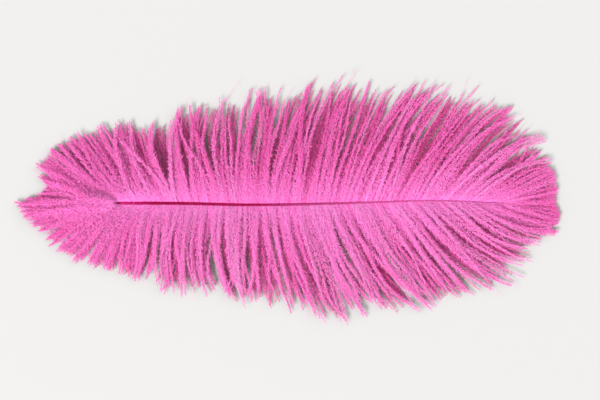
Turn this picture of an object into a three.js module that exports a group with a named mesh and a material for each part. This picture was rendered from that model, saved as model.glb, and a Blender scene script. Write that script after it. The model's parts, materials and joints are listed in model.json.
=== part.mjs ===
// A dyed ostrich plume lying on a flat surface, dorsal side up.
// +X runs along the shaft from the quill to the tip, +Y is the plume's left vane and +Z is up, in millimetres.
// The origin is the bottom centre of the plume's box, on the surface that it lies on.
//
// The quill (calamus) is a hollow tube with dried pulp caps in it. The shaft (rachis) is a horny cortex round a
// foam pith, cut here into six lengths that bend at five places. Each vane is made of barbs, gathered into locks:
// one closed, bent blade per lock, rooted in the shaft length that carries it.
import * as THREE from "three";

// ---- Driving dimensions ----
const SHAFT_LENGTH = 248; // from the first barbs to the last
const SECTIONS = 6; // shaft lengths
const LOCKS_PER_SECTION = 3; // on each side
const FLEX_GAP = 0.6; // between two shaft lengths, so that they can tilt
const FACE_GAP = 0.3; // between pieces that meet face to face
const LOCK_GAP = 0.7; // between neighbouring locks, along the shaft
const FLEX_LOCK_GAP = 2.6; // the same across a place where the shaft bends

const QUILL_LENGTH = 34;
const QUILL_RADIUS = 1.75;
const QUILL_WALL = 0.45;
const SHAFT_RADIUS_BASE = 1.65;
const SHAFT_RADIUS_TIP = 0.45;
const SHAFT_TAPER = 0.8; // below 1, the shaft thins faster near the quill than near the tip
const CORTEX_SHARE = 0.68; // the pith channel's radius over the shaft's
const PITH_GAP = 0.15;
const CAP_COUNT = 3; // pulp caps in the quill, cups on a thin stem
const CAP_FIRST = 0.35; // the share of the quill's length where the first one starts
const CAP_PITCH = 8;
const CAP_STEM_RADIUS = 0.3;
const CAP_RISE = 1.6; // from a cap's foot on the stem up to its rim
const CAP_RIM = 0.4; // the rim's own height
const CAP_HOLLOW = 0.9; // from a cap's foot up to the floor of its cup
const CAP_STEM_TOP = 1.2; // how far the stem ends above the last cap's foot
const ROUND_SIDES = 16;

const DOWN_REACH = 20; // how far below zero the lock positions run, for the down that sweeps back over the quill
const TIP_REACH = 12; // how far past the shaft's end they run, for the fan at the tip
const DOWN_SET_BACK = 0.35; // mm that a down root lies behind the first barbs, for each mm of position
const DOWN_HEIGHT = 3.4; // how far the down's underside clears the quill's centreline
const BLADE_STEPS = 8;
const TOUCHDOWN = 0.84; // the share of a barb's length where it comes down onto the surface
const ROOT_THICKNESS = 1.9;
const LOFT = 2.6; // extra thickness over the middle of a barb
const TIP_THICKNESS = 1.6;
const ARCH = 2.4; // how far a barb rises before it droops
const LOFT_TOWARDS_ROOT = 0.8; // below 1, the thickest place lies nearer the root than the tip
const DOWN_LATE_DROOP = 0.8; // how much later the down droops than the other barbs
const LOCK_NARROWS = 0.6; // the share of a lock's length where it starts to narrow
const LOCK_NARROWING = 0.55; // how much narrower its tip is than its root
const LOCK_ROUNDING = 1.5; // the power of that narrowing
const LOCK_CROWN = 0.35; // how much thinner a lock is at its sides than along its middle

// The shaft's centreline: a shallow arch that wanders a little from side to side.
const shaft = new THREE.CatmullRomCurve3([
  new THREE.Vector3(0, 0.4, 8.5),
  new THREE.Vector3(35, 0.3, 11.5),
  new THREE.Vector3(85, -0.7, 14.6),
  new THREE.Vector3(145, 0.3, 15.6),
  new THREE.Vector3(205, 2.0, 13),
  new THREE.Vector3(SHAFT_LENGTH, 0.6, 8.4),
]);

// How each side's barbs lie, as [position along the shaft, angle from +X in degrees, length].
const LEFT_BARBS = [
  [-DOWN_REACH, 180, 60],
  [0, 140, 62],
  [34, 102, 55],
  [66, 92, 70],
  [118, 73, 84],
  [183, 58, 82],
  [229, 38, 58],
  [SHAFT_LENGTH, 18, 40],
  [SHAFT_LENGTH + TIP_REACH, 0, 38],
];
const RIGHT_BARBS = [
  [-DOWN_REACH, 180, 60],
  [0, 140, 58],
  [21, 98, 52],
  [86, 82, 64],
  [118, 70, 72],
  [183, 42, 84],
  [229, 25, 55],
  [SHAFT_LENGTH, 12, 40],
  [SHAFT_LENGTH + TIP_REACH, 0, 38],
];
const SWEEP = 9; // degrees that a barb leaves the shaft ahead of its line, before it bends to the tip

// ---- Materials ----
const barbMaterial = new THREE.MeshStandardMaterial({ color: 0xf064b4, roughness: 0.9, metalness: 0 });
const downMaterial = new THREE.MeshStandardMaterial({ color: 0xf872c0, roughness: 0.95, metalness: 0 });
const hornMaterial = new THREE.MeshStandardMaterial({ color: 0x9c1444, roughness: 0.45, metalness: 0 });
const quillMaterial = new THREE.MeshStandardMaterial({ color: 0xc24a78, roughness: 0.35, metalness: 0 });
const pithMaterial = new THREE.MeshStandardMaterial({ color: 0xf0b4cc, roughness: 0.9, metalness: 0 });

const plume = new THREE.Group();

function addMesh(name, geometry, material) {
  const mesh = new THREE.Mesh(geometry, material);
  mesh.name = name;
  plume.add(mesh);
  return mesh;
}

// ---- Shaft and quill ----
const shaftRadius = (s) =>
  THREE.MathUtils.lerp(SHAFT_RADIUS_BASE, SHAFT_RADIUS_TIP, (s / SHAFT_LENGTH) ** SHAFT_TAPER);
const onShaft = (s) => shaft.getPointAt(THREE.MathUtils.clamp(s / SHAFT_LENGTH, 0, 1));

// A turned piece whose axis runs from one point to another; the profile's height is the distance along it.
function addTurned(name, profile, from, to, material) {
  const points = profile.map(([radius, along]) => new THREE.Vector2(radius, along));
  const mesh = addMesh(name, new THREE.LatheGeometry(points, ROUND_SIDES), material);
  mesh.position.copy(from);
  mesh.quaternion.setFromUnitVectors(new THREE.Vector3(0, 1, 0), to.clone().sub(from).normalize());
}

function addCalamus() {
  const start = onShaft(0);
  const along = onShaft(SHAFT_LENGTH / SECTIONS).sub(start).normalize();
  const to = start.clone().addScaledVector(along, -FACE_GAP);
  const from = start.clone().addScaledVector(along, -QUILL_LENGTH);
  const length = QUILL_LENGTH - FACE_GAP;
  const bore = QUILL_RADIUS - QUILL_WALL;
  const tube = [[bore, 0], [QUILL_RADIUS, 0], [QUILL_RADIUS, length], [bore, length], [bore, 0]];
  addTurned("calamus", tube, from, to, quillMaterial);

  // Cups on a thin stem, as the pulp dries inside the quill.
  const cup = bore - PITH_GAP;
  const foot = (i) => length * CAP_FIRST + i * CAP_PITCH;
  const caps = [[0, foot(0)]];
  for (let i = 0; i < CAP_COUNT; i++) {
    const at = foot(i);
    caps.push([CAP_STEM_RADIUS, at], [cup, at + CAP_RISE], [cup, at + CAP_RISE + CAP_RIM]);
    caps.push([CAP_STEM_RADIUS, at + CAP_HOLLOW]);
  }
  caps.push([0, foot(CAP_COUNT - 1) + CAP_STEM_TOP]);
  addTurned("pulp_caps", caps, from, to, pithMaterial);
}

function addShaftSections() {
  const length = SHAFT_LENGTH / SECTIONS;
  for (let i = 0; i < SECTIONS; i++) {
    const [s0, s1] = [i * length, (i + 1) * length];
    const [p0, p1] = [onShaft(s0), onShaft(s1)];
    const span = p0.distanceTo(p1);
    const start = i === 0 ? 0 : FLEX_GAP / 2;
    const end = i === SECTIONS - 1 ? span : span - FLEX_GAP / 2;
    const [r0, r1] = [shaftRadius(s0), shaftRadius(s1)];
    const hollow = i < SECTIONS - 1; // the last length is horn all through
    if (hollow) {
      const [b0, b1] = [r0 * CORTEX_SHARE, r1 * CORTEX_SHARE];
      const cortex = [[b0, start], [r0, start], [r1, end], [b1, end], [b0, start]];
      addTurned(`rachis_${i + 1}`, cortex, p0, p1, hornMaterial);
      const [c0, c1] = [b0 - PITH_GAP, b1 - PITH_GAP];
      const pith = [[0, start + FACE_GAP], [c0, start + FACE_GAP], [c1, end - FACE_GAP], [0, end - FACE_GAP]];
      addTurned(`pith_${i + 1}`, pith, p0, p1, pithMaterial);
    } else {
      addTurned(`rachis_${i + 1}`, [[0, start], [r0, start], [r1, end], [0, end]], p0, p1, hornMaterial);
    }
  }
}

// ---- Barbs ----
const smooth = (t) => t * t * (3 - 2 * t);

// The angle and length of the barbs at a position, between the two nearest rows of a side's list.
function lieOf(rows, s) {
  const next = Math.max(1, rows.findIndex((row) => row[0] >= s));
  const [a, b] = [rows[next - 1], rows[next]];
  const t = THREE.MathUtils.clamp((s - a[0]) / (b[0] - a[0]), 0, 1);
  return [THREE.MathUtils.lerp(a[1], b[1], t), THREE.MathUtils.lerp(a[2], b[2], t)];
}

// Where a barb's root is. Down roots gather behind the first barbs, and tip roots ahead of the last ones.
function rootOf(s, side) {
  const root = onShaft(s);
  const before = Math.max(0, -s);
  const past = Math.max(0, s - SHAFT_LENGTH);
  const aside = 1 - before / DOWN_REACH - past / TIP_REACH;
  root.x += -before * DOWN_SET_BACK + Math.min(past, FACE_GAP * 2);
  const radius = shaftRadius(THREE.MathUtils.clamp(s, 0, SHAFT_LENGTH));
  root.y += side * Math.max(FACE_GAP, (radius + LOCK_GAP) * aside);
  return root;
}

// The point at share f of the barb's length, in plan, and the height of its lower and upper surface there.
function barbPoint(rows, side, s, f) {
  const root = rootOf(s, side);
  const [angle, length] = lieOf(rows, s);
  const bend = SWEEP * smooth(Math.min(1, (s + DOWN_REACH) / DOWN_REACH) * (s < SHAFT_LENGTH ? 1 : 0));
  const line = THREE.MathUtils.degToRad(angle);
  const launch = THREE.MathUtils.degToRad(angle + bend);
  const [early, late] = [f * (1 - f) * length, f * f * length];
  const x = root.x + early * Math.cos(launch) + late * Math.cos(line);
  const y = root.y + side * (early * Math.sin(launch) + late * Math.sin(line));
  const down = Math.max(0, -s) / DOWN_REACH; // 1 where the down lies along the quill
  const loft = LOFT * Math.sin(Math.PI * f ** LOFT_TOWARDS_ROOT);
  const thickness = THREE.MathUtils.lerp(ROOT_THICKNESS, TIP_THICKNESS, f) + loft;
  const start = root.z - ROOT_THICKNESS / 2 + (s < 0 ? DOWN_HEIGHT : 0);
  const droop = smooth(THREE.MathUtils.clamp(f / TOUCHDOWN, 0, 1) ** (1 + DOWN_LATE_DROOP * down));
  const low = start * (1 - droop) + ARCH * (1 - droop) * Math.sin((Math.PI * Math.min(1, f / TOUCHDOWN)) / 2);
  return [x, y, low, thickness];
}

// A lock is a box bent along the barbs between two positions: its length follows them from root to tip.
function addLock(name, rows, side, from, to, material) {
  const geometry = new THREE.BoxGeometry(1, 1, 1, BLADE_STEPS, 2, 1);
  const place = geometry.getAttribute("position");
  for (let i = 0; i < place.count; i++) {
    const f = place.getX(i) + 0.5;
    const past = Math.max(0, f - LOCK_NARROWS) / (1 - LOCK_NARROWS);
    const across = 2 * place.getY(i) * (1 - LOCK_NARROWING * past ** LOCK_ROUNDING);
    const s = (from + to) / 2 + (across * side * (from - to)) / 2;
    const [x, y, low, thickness] = barbPoint(rows, side, s, f);
    const top = place.getZ(i) > 0;
    place.setXYZ(i, x, y, top ? low + thickness * (1 - LOCK_CROWN * Math.abs(across)) : low);
  }
  geometry.computeVertexNormals();
  addMesh(name, geometry, material);
}

function addVane(word, rows, side) {
  const pitch = SHAFT_LENGTH / SECTIONS / LOCKS_PER_SECTION;
  const count = SECTIONS * LOCKS_PER_SECTION;
  for (let i = 0; i < count; i++) {
    const before = i > 0 && i % LOCKS_PER_SECTION === 0 ? FLEX_LOCK_GAP : LOCK_GAP;
    const after = i < count - 1 && (i + 1) % LOCKS_PER_SECTION === 0 ? FLEX_LOCK_GAP : LOCK_GAP;
    const number = String(i + 1).padStart(2, "0");
    const [from, to] = [i * pitch + before / 2, (i + 1) * pitch - after / 2];
    addLock(`${word}_barbs_${number}`, rows, side, from, to, barbMaterial);
  }
  const half = DOWN_REACH / 2;
  addLock(`${word}_down_1`, rows, side, -DOWN_REACH, -half - LOCK_GAP / 2, downMaterial);
  addLock(`${word}_down_2`, rows, side, -half + LOCK_GAP / 2, -LOCK_GAP / 2, downMaterial);
  const end = SHAFT_LENGTH + TIP_REACH;
  addLock(`${word}_tip_barbs`, rows, side, SHAFT_LENGTH + LOCK_GAP / 2, end, barbMaterial);
}

addCalamus();
addShaftSections();
addVane("left", LEFT_BARBS, 1);
addVane("right", RIGHT_BARBS, -1);

// The origin goes to the bottom centre of the whole plume.
const box = new THREE.Box3().setFromObject(plume, true);
plume.position.set(-(box.min.x + box.max.x) / 2, -(box.min.y + box.max.y) / 2, -box.min.z);

export default new THREE.Group().add(plume);
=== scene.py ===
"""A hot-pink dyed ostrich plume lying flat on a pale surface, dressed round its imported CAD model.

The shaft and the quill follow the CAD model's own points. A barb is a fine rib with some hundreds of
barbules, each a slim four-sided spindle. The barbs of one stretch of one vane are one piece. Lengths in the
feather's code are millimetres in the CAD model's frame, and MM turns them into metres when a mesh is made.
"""
import json
import math

import bpy
import numpy as np
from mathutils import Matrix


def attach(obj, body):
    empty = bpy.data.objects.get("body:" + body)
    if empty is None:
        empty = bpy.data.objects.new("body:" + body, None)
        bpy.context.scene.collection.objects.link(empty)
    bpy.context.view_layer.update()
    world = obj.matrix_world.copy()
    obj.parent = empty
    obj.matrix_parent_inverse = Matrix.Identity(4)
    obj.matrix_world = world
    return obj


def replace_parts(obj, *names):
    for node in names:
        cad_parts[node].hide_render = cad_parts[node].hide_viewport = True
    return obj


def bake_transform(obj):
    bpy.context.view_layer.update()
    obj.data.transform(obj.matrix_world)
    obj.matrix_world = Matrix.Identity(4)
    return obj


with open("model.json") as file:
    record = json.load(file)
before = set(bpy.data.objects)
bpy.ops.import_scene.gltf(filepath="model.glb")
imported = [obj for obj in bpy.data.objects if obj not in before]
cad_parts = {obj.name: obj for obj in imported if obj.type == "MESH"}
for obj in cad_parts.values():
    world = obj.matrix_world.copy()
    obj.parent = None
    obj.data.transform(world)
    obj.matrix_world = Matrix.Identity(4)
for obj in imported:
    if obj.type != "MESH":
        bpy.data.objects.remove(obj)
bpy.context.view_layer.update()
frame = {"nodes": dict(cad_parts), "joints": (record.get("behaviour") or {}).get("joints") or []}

MM = 0.001
random = np.random.default_rng(11)
hair_random = np.random.default_rng(5)  # for the stray strands and hairs

# ---- The plume's layout ----
SECTIONS = 6  # the CAD model's shaft lengths
LEFT, RIGHT = 1, -1
DOWN_SPAN = 20.0  # how far below zero the barb positions run, for the down behind the first barbs
TIP_SPAN = 12.0  # how far past the shaft's end they run, for the fan at the tip
DOWN_SET_BACK = 0.35  # mm that a down root lies behind the first barbs, for each mm of position
DOWN_LIFT = 3.6  # the down's roots ride over the quill by this much
ROOT_ASIDE, ROOT_UP = 0.64, 0.70  # a barb's root on the shaft's upper flank, in shaft radii from its centre
SWEEP = 9.0  # degrees that a barb leaves the shaft ahead of its line
TOUCHDOWN = 0.9  # the share of a barb's length where it comes down to the surface
TIP_HEIGHT = 1.9  # of a barb's tip above the surface
LOWEST = 0.05  # nothing goes closer to the surface
RISE = 2.2  # how far a barb rises before it droops
LAYER = 3.2  # how far above or below its neighbours a barb can lie

# How each side's barbs lie: position along the shaft, angle from +X in degrees, length.
LIE = {
    LEFT: [
        (-24, 188, 60), (-21, 183, 62), (-19, 178, 58), (-16.5, 171, 46), (-13.5, 165, 47), (-10.5, 160, 56),
        (-8, 156, 57), (0, 140, 58), (12, 120, 56), (34, 101, 56), (66, 92, 68), (118, 74, 82), (183, 58, 84),
        (206, 48, 77), (229, 37, 60), (248, 16, 38), (260, 0, 35), (264, -6, 35),
    ],
    RIGHT: [
        (-24, 188, 60), (-20, 180, 62), (-14, 168, 56), (-8, 155, 52), (0, 140, 51), (10, 118, 48),
        (21, 101, 50), (40, 92, 57), (86, 82, 68), (118, 70, 79), (183, 43, 85), (206, 34, 72),
        (229, 27, 57), (240, 20, 48), (248, 13, 40), (260, 0, 35), (264, -6, 35),
    ],
}
RIM_SHARE = 0.75  # the share of the barbs' length where their spacing is set
# How many barbs to a millimetre of that line: position along the shaft, number.
BARBS_PER_MM = [
    (-20, 2.6), (0, 2.3), (40, 1.7), (100, 1.5), (200, 1.55), (236, 1.9), (250, 2.3), (260, 2.4),
]

# Where the barbs part: side, position along the shaft, width of the gap at the rim, and the share of the
# barbs' length where it starts.
PARTINGS = [
    (LEFT, 60, 3.0, 0.6), (LEFT, 80, 4.0, 0.4), (LEFT, 93, 5.0, 0.5), (LEFT, 150, 3.5, 0.6),
    (LEFT, 184, 5.0, 0.65), (RIGHT, 5, 2.2, 0.08), (RIGHT, 21, 1.8, 0.15), (RIGHT, 70, 3.0, 0.6),
    (RIGHT, 128, 3.5, 0.55),
]
PARTING_REACH = 7.0  # how far along the rim a parting pushes the barbs aside
LOOSE_SHARE = 0.5  # of the barbs, which lie loose underneath the strands
LOOSE_LEAN = 3.0  # how far along the rim their tips stray
TUFT_SPAN = (10, 24)  # millimetres of rim
TUFT_LEAN = {LEFT: 4.0, RIGHT: 2.4}
TUFT_WANDER = 2.4
STRAND_SPAN = (1.2, 3.2)
STRAND_LEAN = {LEFT: 5.4, RIGHT: 3.8}
STRAND_WANDER = (0.5, 2.7)
CROSSING = 0.13  # the share of the strands that lie across their neighbours
CROSSING_LEAN = {LEFT: 10.0, RIGHT: 7.0}
CLING = {LEFT: (0.3, 0.85), RIGHT: (0.15, 0.7)}  # how close together a strand's barbs lie
BARE_SHARE = 0.08  # of the barbs, which end in a bare, hooked hair
BARE_FROM = 0.86  # the share of such a barb's length where its barbules end
HOOK = 6.0
SOFT_END = 36.0  # the down at the base is soft as far as here along the shaft
NEAT_START, NEAT_SPAN = 226.0, 20.0  # and the fan at the tip lies smooth from here
EVEN_TONE = 0.68  # the shade that soft and neat barbs tend to
# Painted light and shade: how much lighter or deeper each vane's barbs are painted, for light that falls
# unevenly on the two vanes: position along the shaft, and a share of the range of shades.
SIDE_SHADE = {
    LEFT: [(-20, 0.0), (40, -0.06), (90, -0.22), (150, -0.2), (200, -0.1), (245, 0.02)],
    RIGHT: [(-20, 0.0), (60, 0.12), (200, 0.16), (245, 0.06)],
}

# ---- Fluff ----
BARB_STEPS = 17
BARBULES_PER_MM = 10.5
BARBULE_LENGTH = 2.45
BARBULE_WIDTH = 0.15
BARBULE_SPLAY = 62.0  # degrees from the barb
BARBULE_CURL = 0.35  # how far its tip bends away, as a share of its length
SHORT_AT_SHAFT = 0.42  # a barbule's length beside the shaft, over its full one
CLEAR_OF_SHAFT = 5.0  # where it has its full one
DOWN_FLUFF = 0.25  # how much longer the down's barbules are
FRIZZ_SHARE, FRIZZ = 0.05, 1.6  # a few barbules are this much longer
WISP = 0.8  # the barbules along this much of one side of a barb meet at their tips
WISP_PULL = 0.7  # how close together those tips come
RIB_RADIUS_ROOT = 0.15
RIB_RADIUS_TIP = 0.08
TONES = 24  # shades that barbs come in, one band of the map each
SHAFT_TONE = 0.75  # the shade that barbules beside the shaft tend to
FAR = 1e3  # a position beyond any barb


def smooth(t):
    t = np.clip(t, 0.0, 1.0)
    return t * t * (3 - 2 * t)


def between(table, s):
    """The values of a table at positions along the shaft."""
    rows = np.array(table, float)
    values = [np.interp(s, rows[:, 0], rows[:, i]) for i in range(1, rows.shape[1])]
    return values[0] if len(values) == 1 else values


# ---- The shaft's line, from the CAD model ----
def shaft_end(number, high):
    """Centre and outer radius of one end of a shaft length."""
    points = np.array([v.co for v in frame["nodes"][f"rachis_{number}"].data.vertices]) / MM
    middle = (points[:, 0].min() + points[:, 0].max()) / 2
    rim = points[(points[:, 0] > middle) == high]
    centre = (rim.min(axis=0) + rim.max(axis=0)) / 2
    return centre, np.linalg.norm(rim - centre, axis=1).max()


first, base_radius = shaft_end(1, False)
last, tip_radius = shaft_end(SECTIONS, True)
hinges = [np.array(joint["pos_m"]) / MM for joint in frame["joints"]]
KNOTS = np.array([first, *hinges, last])
KNOT_S = np.concatenate([[0.0], np.cumsum(np.linalg.norm(np.diff(KNOTS, axis=0), axis=1))])
KNOT_RADII = np.array([base_radius, *[shaft_end(i, False)[1] for i in range(2, SECTIONS + 1)], tip_radius])
LENGTH = KNOT_S[-1]
SLOPES = np.gradient(KNOTS, KNOT_S, axis=0)


def shaft_point(s):
    """The centreline, as a smooth curve through the two ends and the hinges."""
    s = np.clip(np.asarray(s, float), 0, LENGTH)
    i = np.clip(np.searchsorted(KNOT_S, s, side="right") - 1, 0, len(KNOTS) - 2)
    span = (KNOT_S[i + 1] - KNOT_S[i])[..., None]
    t = ((s - KNOT_S[i])[..., None]) / span
    h00, h10 = 2 * t**3 - 3 * t**2 + 1, t**3 - 2 * t**2 + t
    h11 = t**3 - t**2
    return h00 * KNOTS[i] + h10 * span * SLOPES[i] + (1 - h00) * KNOTS[i + 1] + h11 * span * SLOPES[i + 1]


def shaft_radius(s):
    return np.interp(s, KNOT_S, KNOT_RADII)


# ---- How barbs lie ----
def barb_root(side, s):
    root = shaft_point(s)
    before, past = np.clip(-s, 0, None), np.clip(s - LENGTH, 0, None)
    aside = np.clip(1 - before / DOWN_SPAN - past / TIP_SPAN, 0, 1)
    root[..., 0] -= before * DOWN_SET_BACK
    root[..., 1] += side * shaft_radius(s) * ROOT_ASIDE * aside
    root[..., 2] += shaft_radius(s) * ROOT_UP + DOWN_LIFT * smooth(before / DOWN_SPAN * 2)
    return root


def barb_point(side, s, f, layer):
    """The point at share f of the barb that leaves at s; layer, from -1 to 1, is its height in the fluff."""
    angle, length = between(LIE[side], s)
    bend = SWEEP * smooth((s + DOWN_SPAN) / DOWN_SPAN) * smooth((LENGTH - s) / 20)
    line, launch = np.radians(angle), np.radians(angle + bend)
    early, late = f * (1 - f) * length, f * f * length
    point = barb_root(side, s)
    start = point[..., 2].copy()
    point[..., 0] += early * np.cos(launch) + late * np.cos(line)
    point[..., 1] += side * (early * np.sin(launch) + late * np.sin(line))
    down = np.clip(-s, 0, None) / DOWN_SPAN
    droop = smooth(np.clip(f / TOUCHDOWN, 0, 1) ** (1 + 0.8 * down))
    hump = np.sin(np.pi * np.clip(f / TOUCHDOWN, 0, 1))
    point[..., 2] = start * (1 - droop) + TIP_HEIGHT * droop + (RISE + LAYER * layer) * hump
    point[..., 2] += LAYER * 0.5 * (layer + 1) * droop
    return point


def rim_line(side):
    """Positions along the shaft, and how far along the plume's rim the barbs that leave there end up."""
    s = np.linspace(LIE[side][0][0], LIE[side][-1][0], 3000)
    rim = barb_point(side, s, np.full_like(s, RIM_SHARE), np.zeros_like(s))
    steps = np.linalg.norm(np.diff(rim, axis=0), axis=1)
    return s, np.concatenate([[0.0], np.cumsum(steps)])


def grouped(a, low, high):
    """Runs of neighbouring barbs, low to high millimetres of rim each: every barb's run, and the middles."""
    edges = [a[0]]
    while edges[-1] < a[-1]:
        edges.append(edges[-1] + random.uniform(low, high))
    run = np.searchsorted(edges, a, side="right") - 1
    edges = np.array(edges + [edges[-1] + high])
    return run, (edges[:-1] + edges[1:]) / 2


def barb_places(grid_s, grid_a):
    """The barbs' places along the rim, as close together as BARBS_PER_MM says."""
    inside = (grid_s >= -DOWN_SPAN) & (grid_s <= LENGTH + TIP_SPAN)
    share = np.where(inside, between(BARBS_PER_MM, grid_s), 0)
    total = np.concatenate([[0.0], np.cumsum(share[1:] * np.diff(grid_a))])
    count = int(total[-1])
    even = (np.arange(count) + random.uniform(0.1, 0.9, count)) * total[-1] / count
    return np.interp(even, total, grid_a)


def make_barbs(side):
    """Every barb of one vane: its position, its tone with its painted shade, and the points along it."""
    grid_s, grid_a = rim_line(side)
    a = barb_places(grid_s, grid_a)
    s = np.interp(a, grid_a, grid_s)
    count = len(a)

    # Two or three neighbours cling together as a strand, and strands wander over the loose barbs underneath.
    tuft, tuft_middle = grouped(a, *TUFT_SPAN)
    strand, strand_middle = grouped(a, *STRAND_SPAN)
    tufts, strands = len(tuft_middle), len(strand_middle)
    under = random.uniform(0, 1, count) < LOOSE_SHARE
    tuft_lean = random.normal(0, TUFT_LEAN[side], tufts)[tuft] * np.where(under, 0.5, 1.0)
    tuft_length = random.uniform(0.96, 1.03, tufts)[tuft]
    tuft_wander = random.normal(0, TUFT_WANDER, tufts)[tuft]
    cling = np.where(under, 0.0, random.uniform(*CLING[side], strands)[strand])
    crossing = hair_random.uniform(0, 1, strands) < CROSSING
    cross_lean = np.where(crossing, hair_random.normal(0, CROSSING_LEAN[side], strands), 0)[strand]
    loose_lean = random.normal(0, LOOSE_LEAN, count)
    strand_lean = random.normal(0, STRAND_LEAN[side], strands)[strand] + cross_lean
    lean = np.where(under, loose_lean, strand_lean)
    wander = random.uniform(*STRAND_WANDER, strands)[strand] * np.where(under, 0.5, 1.0)
    wander_phase = random.uniform(0, 2 * np.pi, strands)[strand]
    wander_turns = random.uniform(0.7, 1.6, strands)[strand]
    own_length = random.uniform(0.82, 1.0, count)
    own_length = np.where(under, own_length, random.uniform(0.84, 1.07, strands)[strand])
    own_layer = random.uniform(-1, -0.4, count)
    own_layer = np.where(under, own_layer, random.uniform(-0.3, 0.85, strands)[strand])
    own_layer = np.where(crossing[strand] & ~under, 1.0, own_layer)
    own_tone = random.uniform(-0.16, 0.16, strands)[strand]

    neat = smooth((s - NEAT_START) / NEAT_SPAN)
    soft = smooth((SOFT_END - s) / SOFT_END)
    loose = (1 - 0.9 * neat) * (1 - 0.6 * soft)
    bare = (random.uniform(0, 1, count) < BARE_SHARE) & ~under & (neat < 0.5)
    reach = 1 + (tuft_length * own_length * random.uniform(0.95, 1.02, count) - 1) * loose
    reach += np.where(bare, random.uniform(0.04, 0.09, count), 0)
    layer = np.clip(own_layer + random.uniform(-0.2, 0.2, count), -1, 1) * (1 - 0.35 * soft - 0.5 * neat)
    drift = random.normal(0, 1.3, count) * loose
    # Painted shade: the loose barbs underneath and the lower strands get deeper tones, and the strands on top
    # lighter ones; own_tone and the noise are each barb's own difference.
    tone_and_shade = np.where(under, random.uniform(0.0, 0.35, count), 0.66 + 0.2 * layer + own_tone)
    # The per-side table adds painted light and shade along each vane.
    tone_and_shade = np.clip(tone_and_shade + between(SIDE_SHADE[side], s) + random.normal(0, 0.07, count), 0, 0.999)
    even = 0.6 * (soft + neat)
    tone_and_shade = tone_and_shade * (1 - even) + EVEN_TONE * even

    # How far along the rim each point of a barb strays from its place.
    f = np.linspace(0, 1, BARB_STEPS)[None, :]
    turn = 2 * np.pi * f * wander_turns[:, None] + wander_phase[:, None]
    shift = -((a - strand_middle[strand]) * cling * loose)[:, None] * smooth((f - 0.1) / 0.5)
    shift += (lean * loose)[:, None] * f**1.4 + (tuft_lean * loose)[:, None] * f**2 + drift[:, None] * f
    shift += (tuft_wander * loose)[:, None] * np.sin(np.pi * f) * f
    shift += (wander * loose)[:, None] * np.sin(turn) * f
    hook = np.where(bare, hair_random.normal(0, HOOK, count), 0)
    shift += hook[:, None] * smooth((f - 0.72) / 0.28) ** 1.5
    for parted_side, place, width, start in PARTINGS:
        if parted_side == side:
            off = a - np.interp(place, grid_s, grid_a)
            push = np.sign(off) * width / 2 * np.exp(-np.abs(off) / PARTING_REACH)
            shift += push[:, None] * smooth((f - start) / (1 - start))
    s_along = np.interp(a[:, None] + shift, grid_a, grid_s)
    points = barb_point(side, s_along, f * reach[:, None], layer[:, None])
    points[:, 0] = barb_root(side, s)
    return dict(s=s, tone_and_shade=tone_and_shade, points=points, neat=neat, bare=bare)


# ---- Meshes ----
def new_object(name, vertices, faces, uv, material):
    """A smooth-shaded mesh of triangles from arrays; uv holds one pair for each corner."""
    mesh = bpy.data.meshes.new(name)
    mesh.vertices.add(len(vertices))
    mesh.vertices.foreach_set("co", (vertices * MM).astype(np.float32).ravel())
    mesh.loops.add(faces.size)
    mesh.loops.foreach_set("vertex_index", faces.astype(np.int32).ravel())
    mesh.polygons.add(len(faces))
    mesh.polygons.foreach_set("loop_start", np.arange(0, faces.size, 3, dtype=np.int32))
    mesh.polygons.foreach_set("use_smooth", np.full(len(faces), True))
    mesh.update(calc_edges=True)
    layer = mesh.uv_layers.new(name="OFBake")
    layer.data.foreach_set("uv", uv.astype(np.float32).ravel())
    mesh.materials.append(material)
    piece = bpy.data.objects.new(name, mesh)
    bpy.context.scene.collection.objects.link(piece)
    return piece


def unit(v):
    return v / np.maximum(np.linalg.norm(v, axis=-1, keepdims=True), 1e-9)


def band(tone_and_shade, across):
    """The map's v for a tone, painted shade included, and a place from 0 to 1 across its band."""
    return (np.floor(tone_and_shade * TONES) + 0.15 + 0.7 * across) / TONES


def ribs(points, tone_and_shade):
    """A three-sided, closed, tapering rib along each row of points."""
    count, steps = points.shape[:2]
    along = unit(np.gradient(points, axis=1))
    aside = unit(np.cross(np.array([0, 0, 1.0]), along))
    up = np.cross(along, aside)
    f = np.linspace(0, 1, steps)
    radius = (RIB_RADIUS_ROOT + (RIB_RADIUS_TIP - RIB_RADIUS_ROOT) * f**0.7)[None, :, None]
    corners = []
    for turn in (0, 2 * np.pi / 3, 4 * np.pi / 3):
        corners.append(points + radius * (np.cos(turn) * aside + np.sin(turn) * up))
    vertices = np.stack(corners, axis=2).reshape(-1, 3)
    start = (np.arange(count)[:, None] * steps + np.arange(steps - 1)[None, :]).reshape(-1, 1) * 3
    quads = []
    for a in range(3):
        b = (a + 1) % 3
        quads += [[a, b, b + 3], [a, b + 3, a + 3]]
    walls = (start[:, None, :] + np.array(quads)[None]).reshape(-1, 3)
    heel = np.arange(count)[:, None] * steps * 3
    caps = np.concatenate([heel + np.array([[0, 2, 1]]), heel + (steps - 1) * 3 + np.array([[0, 1, 2]])])
    faces = np.concatenate([walls, caps])
    u = np.broadcast_to(f[None, :, None], (count, steps, 3)).reshape(-1)
    across = np.array([0.0, 0.06, 0.12])[None, None, :]
    v = np.broadcast_to(band(tone_and_shade[:, None, None], across), (count, steps, 3))
    corner_uv = np.stack([u, v.reshape(-1)], axis=-1)[faces]
    corner_uv[:, 1, 0] += 0.004  # keeps the caps and the narrow walls from having no width in the map
    return vertices, faces, corner_uv.reshape(-1, 2)


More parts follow.
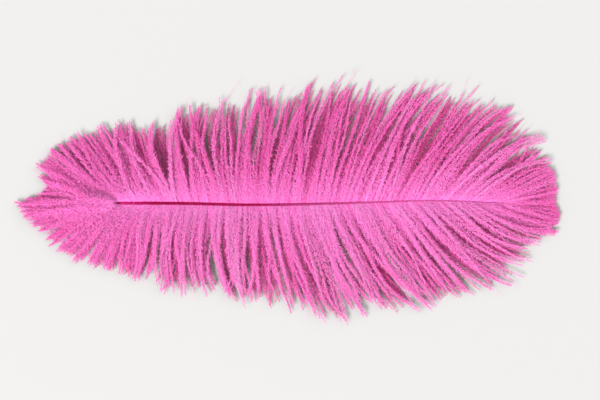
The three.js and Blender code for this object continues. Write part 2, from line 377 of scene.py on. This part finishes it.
def barbules(barbs, keep):
    """The slim spindles along the barbs that keep chooses."""
    points, tone_and_shade, neat = barbs["points"][keep], barbs["tone_and_shade"][keep], barbs["neat"][keep]
    s, bare = barbs["s"][keep], barbs["bare"][keep]
    steps = points.shape[1]
    lengths = np.linalg.norm(np.diff(points, axis=1), axis=2).sum(axis=1)
    counts = (lengths * BARBULES_PER_MM).astype(int)
    barb = np.repeat(np.arange(len(points)), counts)
    total = len(barb)
    order = np.arange(total) - np.repeat(np.cumsum(counts) - counts, counts)
    f = np.clip((order + random.uniform(0, 1, total)) / counts[barb], 0.004, 0.996)
    f = np.where(bare[barb], f * BARE_FROM, f)
    place = f * (steps - 1)
    i = np.minimum(place.astype(int), steps - 2)
    t = (place - i)[:, None]
    here = points[barb, i] * (1 - t) + points[barb, i + 1] * t
    along = unit(points[barb, i + 1] - points[barb, i])
    hand = np.where(order % 2, 1, -1)
    aside = unit(np.cross(np.array([0, 0, 1.0]), along)) * hand[:, None]
    up = np.array([0, 0, 1.0]) - along * along[:, 2:3]

    # The barbules of a wisp share its lean and its tip.
    wisps = (lengths / WISP).astype(int) + 2
    wisp_in_barb = (f * lengths[barb] / WISP + 0.25 * hand).clip(0).astype(int)
    wisp = (np.cumsum(wisps) - wisps)[barb] * 2 + wisp_in_barb * 2 + (hand > 0)
    total_wisps = int(wisps.sum()) * 2
    ruffled = 0.35 + 0.65 * smooth(f / 0.5)  # the barbules lie flatter towards the shaft
    roll = random.normal(0.1, 0.8, total_wisps)[wisp] * ruffled + random.normal(0, 0.25, total) * ruffled
    splay = random.normal(BARBULE_SPLAY, 13, total_wisps)[wisp] + random.normal(0, 7, total)
    splay = np.radians(splay - 16 * f**2 - 10 * neat[barb])
    out = np.cos(roll)[:, None] * aside + np.sin(roll)[:, None] * up
    way = unit(np.cos(splay)[:, None] * along + np.sin(splay)[:, None] * out)

    clear = smooth((f * lengths[barb]) / CLEAR_OF_SHAFT)
    fluffier = 1 + DOWN_FLUFF * smooth((30 - s[barb]) / 40)
    taper = (0.34 * f**2 + 0.34 * f**9) * (1 - 0.6 * neat[barb])
    length = BARBULE_LENGTH * (SHORT_AT_SHAFT + (1 - SHORT_AT_SHAFT) * clear) * (1 - taper) * fluffier
    length *= random.uniform(0.55, 1.25, total_wisps)[wisp] * random.uniform(0.7, 1.1, total)
    length *= np.where(random.uniform(0, 1, total) < FRIZZ_SHARE, FRIZZ, 1.0)
    length = (length * (1 - 0.1 * neat[barb]))[:, None]
    bend = random.normal(0, 0.5, (total_wisps, 3))[wisp]
    curl = unit(0.5 * along + bend - np.array([0, 0, 0.3])) * BARBULE_CURL
    middle_of_wisp = ((wisp_in_barb - 0.25 * hand + 0.5) * WISP - f * lengths[barb])[:, None] * along
    tip = here + (way + curl) * length + middle_of_wisp * WISP_PULL * smooth(f / 0.45)[:, None]
    way = tip - here
    length = np.linalg.norm(way, axis=1, keepdims=True)
    way = way / length
    side = unit(np.cross(way, along + 0.01))
    other = np.cross(way, side)
    half = (BARBULE_WIDTH / 2 * random.uniform(0.75, 1.25, total))[:, None]
    middle = here + way * length * random.uniform(0.3, 0.5, total)[:, None] + other * half * 1.6
    vertices = np.stack([here, middle + half * side, middle - half * side, tip], axis=1).reshape(-1, 3)
    pattern = np.array([[0, 2, 1], [3, 1, 2], [0, 1, 3], [0, 3, 2]])
    faces = ((np.arange(total) * 4)[:, None, None] + pattern[None]).reshape(-1, 3)
    u = f[:, None] + 0.012 * np.array([0, 1, -1, 0])[None, :]
    # The shades settle down towards the shaft and the base.
    rough = (0.2 + 0.8 * smooth(f / 0.55)) * (1 - 0.45 * smooth((50 - s[barb]) / 50))
    shade = tone_and_shade[barb] * rough + SHAFT_TONE * (1 - rough)
    shade += (random.normal(0, 0.12, total_wisps)[wisp] + random.normal(0, 0.05, total)) * rough
    # A barbule's tip lies at the far end of its band, where the material paints the strands' edges with
    # painted shade.
    v = band(np.clip(shade, 0, 0.999)[:, None], np.array([0.0, 0.42, 0.42, 1.0])[None, :])
    corner_uv = np.stack([u, np.broadcast_to(v, u.shape)], axis=-1).reshape(-1, 2)[faces]
    return vertices, faces, corner_uv.reshape(-1, 2)


def joined(parts):
    """Several (vertices, faces, uv) as one."""
    vertices, faces, uvs, offset = [], [], [], 0
    for part in parts:
        vertices.append(part[0])
        faces.append(part[1] + offset)
        uvs.append(part[2])
        offset += len(part[0])
    return np.concatenate(vertices), np.concatenate(faces), np.concatenate(uvs)


# ---- Materials ----
def principled(name, roughness):
    material = bpy.data.materials.new(name)
    material.use_nodes = True
    shader = material.node_tree.nodes["Principled BSDF"]
    shader.inputs["Roughness"].default_value = roughness
    return material, material.node_tree, shader


def math_node(tree, operation, a, b=None):
    node = tree.nodes.new("ShaderNodeMath")
    node.operation = operation
    for socket, value in zip(node.inputs, (a, b)):
        if value is None:
            continue
        if isinstance(value, (int, float)):
            socket.default_value = value
        else:
            tree.links.new(value, socket)
    return node.outputs[0]


def ramp(tree, factor, stops):
    node = tree.nodes.new("ShaderNodeValToRGB")
    tree.links.new(factor, node.inputs["Fac"])
    elements = node.color_ramp.elements
    while len(elements) < len(stops):
        elements.new(0.5)
    for element, (place, colour) in zip(elements, stops):
        element.position = place
        element.color = (*colour, 1)
    return node.outputs["Color"]


def mixed(tree, kind, factor, a, b):
    node = tree.nodes.new("ShaderNodeMix")
    node.data_type = "RGBA"
    node.blend_type = kind
    sockets = [node.inputs[0], node.inputs[6], node.inputs[7]]
    for socket, value in zip(sockets, (factor, a, b)):
        if isinstance(value, (int, float)):
            socket.default_value = value
        elif isinstance(value, tuple):
            socket.default_value = (*value, 1)
        else:
            tree.links.new(value, socket)
    return node.outputs[2]


def roughen(tree, shader, height, smoothest, roughest, depth):
    """Relief of that depth in metres, and roughness between two values, from one pattern."""
    spread = math_node(tree, "MULTIPLY", height, roughest - smoothest)
    tree.links.new(math_node(tree, "ADD", spread, smoothest), shader.inputs["Roughness"])
    bump = tree.nodes.new("ShaderNodeBump")
    bump.inputs["Strength"].default_value = 0.6
    bump.inputs["Distance"].default_value = depth
    tree.links.new(height, bump.inputs["Height"])
    tree.links.new(bump.outputs["Normal"], shader.inputs["Normal"])


def barb_material():
    """Dyed barbs: a tone for each barb, deeper for low barbs as painted shade, streaks along it, painted
    shade on the barbules' tips at the strands' edges, and deeper ends.
    """
    material, tree, shader = principled("dyed_barbs", 0.7)
    uv = tree.nodes.new("ShaderNodeUVMap")
    uv.uv_map = "OFBake"
    parts = tree.nodes.new("ShaderNodeSeparateXYZ")
    tree.links.new(uv.outputs["UV"], parts.inputs[0])
    along, v = parts.outputs["X"], parts.outputs["Y"]
    scaled = math_node(tree, "MULTIPLY", v, TONES)
    tone_and_shade = math_node(tree, "DIVIDE", math_node(tree, "FLOOR", scaled), TONES)
    across = math_node(tree, "FRACT", scaled)
    # The deep end of this ramp is the painted shade of the barbs lying low, and the light end is the strands
    # on top; each barb's own tones lie between.
    shade = ramp(tree, tone_and_shade, [
        (0.0, (0.62, 0.035, 0.25)), (0.3, (0.92, 0.11, 0.50)),
        (0.6, (1.0, 0.24, 0.72)), (1.0, (1.0, 0.42, 0.86)),
    ])
    place = tree.nodes.new("ShaderNodeCombineXYZ")
    tree.links.new(math_node(tree, "MULTIPLY", along, 90.0), place.inputs["X"])
    tree.links.new(math_node(tree, "MULTIPLY", tone_and_shade, 37.0), place.inputs["Y"])
    noise = tree.nodes.new("ShaderNodeTexNoise")
    noise.inputs["Scale"].default_value = 1.0
    noise.inputs["Detail"].default_value = 3.0
    tree.links.new(place.outputs[0], noise.inputs["Vector"])
    streak = ramp(tree, noise.outputs["Fac"], [(0.35, (0.9, 0.66, 0.8)), (0.6, (1.0, 1.0, 1.0))])
    colour = mixed(tree, "MULTIPLY", 0.8, shade, streak)
    # Painted shade: away from the shaft, the barbules' tips at the edges of each strand are painted deeper
    # than the rib.
    outward = math_node(tree, "MINIMUM", math_node(tree, "MULTIPLY", along, 2.5), 1.0)
    edge_shade = math_node(tree, "MULTIPLY", math_node(tree, "MULTIPLY", across, outward), 0.55)
    colour = mixed(tree, "MIX", edge_shade, colour, (0.86, 0.10, 0.46))
    # The barbs turn deeper towards their ends.
    deeper_end = math_node(tree, "MULTIPLY", math_node(tree, "POWER", along, 3.0), 0.3)
    colour = mixed(tree, "MIX", deeper_end, colour, (0.85, 0.12, 0.48))
    tree.links.new(colour, shader.inputs["Base Color"])
    matt = math_node(tree, "ADD", math_node(tree, "MULTIPLY", noise.outputs["Fac"], 0.2), 0.6)
    tree.links.new(matt, shader.inputs["Roughness"])
    shader.inputs["Sheen Weight"].default_value = 0.25
    shader.inputs["Sheen Roughness"].default_value = 0.45
    shader.inputs["Sheen Tint"].default_value = (1.0, 0.55, 0.80, 1)
    shader.inputs["Specular IOR Level"].default_value = 0.3
    glow = tree.nodes.new("ShaderNodeBsdfTranslucent")
    tree.links.new(colour, glow.inputs["Color"])
    both = tree.nodes.new("ShaderNodeMixShader")
    both.inputs[0].default_value = 0.4
    tree.links.new(shader.outputs[0], both.inputs[1])
    tree.links.new(glow.outputs[0], both.inputs[2])
    tree.links.new(both.outputs[0], tree.nodes["Material Output"].inputs["Surface"])
    return material


def horn_material():
    """The shaft's horn: crimson, fading to pink towards the tip, with fine lengthwise fibres."""
    material, tree, shader = principled("dyed_horn", 0.6)
    uv = tree.nodes.new("ShaderNodeUVMap")
    uv.uv_map = "OFBake"
    parts = tree.nodes.new("ShaderNodeSeparateXYZ")
    tree.links.new(uv.outputs["UV"], parts.inputs[0])
    along, around = parts.outputs["X"], parts.outputs["Y"]
    base = ramp(tree, along, [
        (0.0, (0.24, 0.006, 0.07)), (0.05, (0.19, 0.003, 0.05)), (0.09, (0.14, 0.0006, 0.022)),
        (0.36, (0.16, 0.001, 0.030)), (0.47, (0.18, 0.012, 0.070)), (0.58, (0.23, 0.024, 0.10)),
        (0.75, (0.26, 0.040, 0.14)),
    ])
    place = tree.nodes.new("ShaderNodeCombineXYZ")
    tree.links.new(math_node(tree, "MULTIPLY", along, 12.0), place.inputs["X"])
    tree.links.new(math_node(tree, "MULTIPLY", around, 60.0), place.inputs["Y"])
    noise = tree.nodes.new("ShaderNodeTexNoise")
    noise.inputs["Scale"].default_value = 1.0
    noise.inputs["Detail"].default_value = 4.0
    tree.links.new(place.outputs[0], noise.inputs["Vector"])
    fibre = ramp(tree, noise.outputs["Fac"], [(0.3, (0.6, 0.5, 0.55)), (0.7, (1.0, 1.0, 1.0))])
    roughen(tree, shader, noise.outputs["Fac"], 0.5, 0.7, 0.00008)
    tree.links.new(mixed(tree, "MULTIPLY", 0.7, base, fibre), shader.inputs["Base Color"])
    shader.inputs["Specular IOR Level"].default_value = 0.02
    return material


def pith_material():
    material, tree, shader = principled("dry_pith", 0.9)
    place = tree.nodes.new("ShaderNodeTexCoord")
    noise = tree.nodes.new("ShaderNodeTexNoise")
    noise.inputs["Scale"].default_value = 900.0
    tree.links.new(place.outputs["Object"], noise.inputs["Vector"])
    colour = ramp(tree, noise.outputs["Fac"], [(0.35, (0.78, 0.36, 0.50)), (0.65, (0.93, 0.62, 0.72))])
    tree.links.new(colour, shader.inputs["Base Color"])
    roughen(tree, shader, noise.outputs["Fac"], 0.85, 0.98, 0.0002)
    return material


def floor_material():
    material, _, shader = principled("pale_floor", 0.75)
    shader.inputs["Base Color"].default_value = (0.26, 0.257, 0.254, 1)
    return material


# ---- The barbs' pieces ----
def body_of(number):
    return "quill_end" if number == 1 else f"length_{number}"


def section_middle(number):
    return (KNOT_S[number - 1] + KNOT_S[number]) / 2


def add_vane(word, side, material):
    """One vane: barbs before the first length's middle, between each two middles, and after the last."""
    barbs = make_barbs(side)

    def piece(name, low, high):
        keep = (barbs["s"] >= low) & (barbs["s"] < high)
        mesh = joined([ribs(barbs["points"][keep], barbs["tone_and_shade"][keep]), barbules(barbs, keep)])
        mesh[0][:, 2] = np.maximum(mesh[0][:, 2], LOWEST)
        return new_object(name, *mesh, material)

    for number, low, high in ((1, -FAR, -DOWN_SPAN / 2), (2, -DOWN_SPAN / 2, 0.0)):
        down = piece(f"{word}_down_fluff_{number}", low, high)
        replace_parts(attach(down, body_of(1)), f"{word}_down_{number}")
    half = section_middle(1) / 2
    for letter, low, high in (("a", 0.0, half), ("b", half, section_middle(1))):
        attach(piece(f"{word}_vane_base_{letter}", low, high), body_of(1))
    for zone in range(1, SECTIONS):
        low, high = section_middle(zone), section_middle(zone + 1)
        halves = np.linspace(low, high, 3)
        for letter, (a, b) in zip("ab", zip(halves[:-1], halves[1:])):
            part = piece(f"{word}_vane_{zone}{letter}", a, b)
            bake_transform(part)
            if letter == "a":
                sections = [zone] if zone < SECTIONS - 1 else [zone, zone + 1]
                locks = [f"{word}_barbs_{3 * (k - 1) + n:02d}" for k in sections for n in (1, 2, 3)]
                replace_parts(part, *locks)
    tip = piece(f"{word}_tip_fan", section_middle(SECTIONS), FAR)
    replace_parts(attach(tip, body_of(SECTIONS)), f"{word}_tip_barbs")


# ---- The shaft and the quill ----
CORTEX_SHARE = 0.62  # the inner radius of the horn over the shaft's radius
PITH_SHARE = 0.55  # and the pith's
PITH_HOLE_SHARE = 0.05
NECK = 0.86  # the quill's radius at its cut end, over its full one
QUILL_MAP = 0.08  # the share of the horn's colour ramp that the quill spans


def tube(centres, outer, inner, sides):
    """Rings of points for the outer and the inner wall of a tube along centres, from their radii."""
    along = unit(np.gradient(centres, axis=0))
    aside = unit(np.cross(np.array([0, 0, 1.0]), along))
    up = np.cross(along, aside)
    turn = np.linspace(0, 2 * np.pi, sides, endpoint=False)
    circle = np.cos(turn)[None, :, None] * aside[:, None] + np.sin(turn)[None, :, None] * up[:, None]
    return centres[:, None] + outer[:, None, None] * circle, centres[:, None] + inner[:, None, None] * circle


def skin(outer, inner, u):
    """Faces and map for the two walls and the two end rings between them."""
    steps, sides = outer.shape[:2]
    vertices = np.concatenate([outer.reshape(-1, 3), inner.reshape(-1, 3)])
    faces, uv = [], []
    offset = steps * sides

    def quad(a, b, c, d, ua, ub, va, vb):
        faces.extend([(a, b, c), (a, c, d)])
        uv.extend([(ua, va), (ua, vb), (ub, vb), (ua, va), (ub, vb), (ub, va)])

    for i in range(steps - 1):
        for j in range(sides):
            k = (j + 1) % sides
            va, vb = j / sides * 0.5, (j + 1) / sides * 0.5
            a, b = i * sides + j, i * sides + k
            quad(a, b, b + sides, a + sides, u[i], u[i + 1], va, vb)
            a, b = a + offset, b + offset
            quad(b, a, a + sides, b + sides, u[i], u[i + 1], 0.5 + vb, 0.5 + va)
    for i, flip in ((0, True), (steps - 1, False)):
        for j in range(sides):
            k = (j + 1) % sides
            ring = [i * sides + j, i * sides + k, offset + i * sides + k, offset + i * sides + j]
            if flip:
                ring = ring[::-1]
            edge = u[i] + (0.002 if flip else -0.002)
            quad(*ring, u[i], edge, j / sides * 0.5, (j + 1) / sides * 0.5)
    return vertices, np.array(faces), np.array(uv)


def add_shaft(material, pith):
    """The horn in five hollow pieces, each spanning parts of two of the CAD lengths, with the pith in it."""
    sides, step = 28, 1.5  # round it, and millimetres along it
    for zone in range(1, SECTIONS):
        low = 0.0 if zone == 1 else section_middle(zone)
        high = LENGTH if zone == SECTIONS - 1 else section_middle(zone + 1)
        s = np.linspace(low, high, int((high - low) / step))
        centres = shaft_point(s)
        radius = shaft_radius(s)
        outer, inner = tube(centres, radius, radius * CORTEX_SHARE, sides)
        piece = new_object(f"shaft_{zone}", *skin(outer, inner, s / LENGTH), material)
        nodes = [f"rachis_{zone}"] + ([f"rachis_{zone + 1}"] if zone == SECTIONS - 1 else [])
        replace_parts(piece, *nodes)
        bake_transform(piece)
        outer, inner = tube(centres, radius * PITH_SHARE, radius * PITH_HOLE_SHARE, sides // 2)
        core = new_object(f"pith_core_{zone}", *skin(outer, inner, s / LENGTH), pith)
        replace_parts(core, f"pith_{zone}")
        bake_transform(core)


def add_quill(material, pith):
    """The hollow quill, from the CAD model's tube, with a rounded rim at its cut end."""
    points = np.array([v.co for v in frame["nodes"]["calamus"].data.vertices]) / MM
    middle = (points[:, 0].min() + points[:, 0].max()) / 2
    rims = [points[points[:, 0] < middle], points[points[:, 0] >= middle]]
    ends = [(rim.min(axis=0) + rim.max(axis=0)) / 2 for rim in rims]
    radii = [np.linalg.norm(rims[0] - ends[0], axis=1).max(), np.linalg.norm(rims[0] - ends[0], axis=1).min()]
    t = np.concatenate([np.linspace(0, 0.06, 6), np.linspace(0.08, 1, 24)])
    centres = ends[0] + (ends[1] - ends[0]) * t[:, None]
    neck = NECK + (1 - NECK) * smooth(t / 0.3)
    rim = smooth((0.02 - t) / 0.02)  # 1 at the very end, where the edge is rounded
    outer_radius = radii[0] * neck * (1 - 0.06 * rim)
    inner_radius = radii[1] * neck * (1 + 0.04 * rim)
    outer, inner = tube(centres, outer_radius, inner_radius, 40)
    piece = new_object("quill", *skin(outer, inner, t * QUILL_MAP), material)
    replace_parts(piece, "calamus")
    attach(piece, body_of(1))
    frame["nodes"]["pulp_caps"].data.materials.clear()
    frame["nodes"]["pulp_caps"].data.materials.append(pith)


# ---- Floor, light and camera ----
VIEW_WIDTH = 0.39  # metres across the picture
AIM = (0.0062, -0.0036, 0.008)  # the middle of the picture, beside the middle of the plume's box
LENS = 70.0
SENSOR_WIDTH = 36.0
FLOOR_SIZE = 6.0


def add_camera():
    data = bpy.data.cameras.new("camera")
    data.lens = LENS
    data.sensor_width = SENSOR_WIDTH
    data.clip_start = 0.01
    camera = bpy.data.objects.new("camera", data)
    camera.location = (AIM[0], AIM[1], AIM[2] + VIEW_WIDTH * LENS / SENSOR_WIDTH)
    bpy.context.scene.collection.objects.link(camera)
    bpy.context.scene.camera = camera


def add_light(name, towards, angle, strength):
    """A distant lamp, so that the floor is evenly lit, as wide across as a big soft box."""
    data = bpy.data.lights.new(name, "SUN")
    data.angle = math.radians(angle)
    data.energy = strength
    lamp = bpy.data.objects.new(name, data)
    x, y, z = towards
    lamp.location = towards
    lamp.rotation_euler = (math.atan2(math.hypot(x, y), z), 0, math.atan2(x, -y))
    bpy.context.scene.collection.objects.link(lamp)


def add_surroundings():
    bpy.ops.mesh.primitive_plane_add(size=FLOOR_SIZE, location=(0, 0, 0))
    floor = bpy.context.object
    floor.name = "floor"
    floor.data.materials.append(floor_material())
    add_light("key", (-0.45, -0.5, 0.9), 26.0, 7.4)
    add_light("fill", (0.7, 0.5, 0.8), 50.0, 1.7)
    world = bpy.data.worlds.new("world")
    bpy.context.scene.world = world
    world.use_nodes = True
    world.node_tree.nodes["Background"].inputs["Color"].default_value = (1, 1, 1, 1)
    world.node_tree.nodes["Background"].inputs["Strength"].default_value = 0.92
    bpy.context.scene.view_settings.view_transform = "Standard"
    bpy.context.scene.cycles.denoising_prefilter = "NONE"  # keeps the barbules from being smoothed away


add_camera()
add_surroundings()
barb = barb_material()
horn = horn_material()
pith = pith_material()
add_shaft(horn, pith)
add_quill(horn, pith)
add_vane("left", LEFT, barb)
add_vane("right", RIGHT, barb)
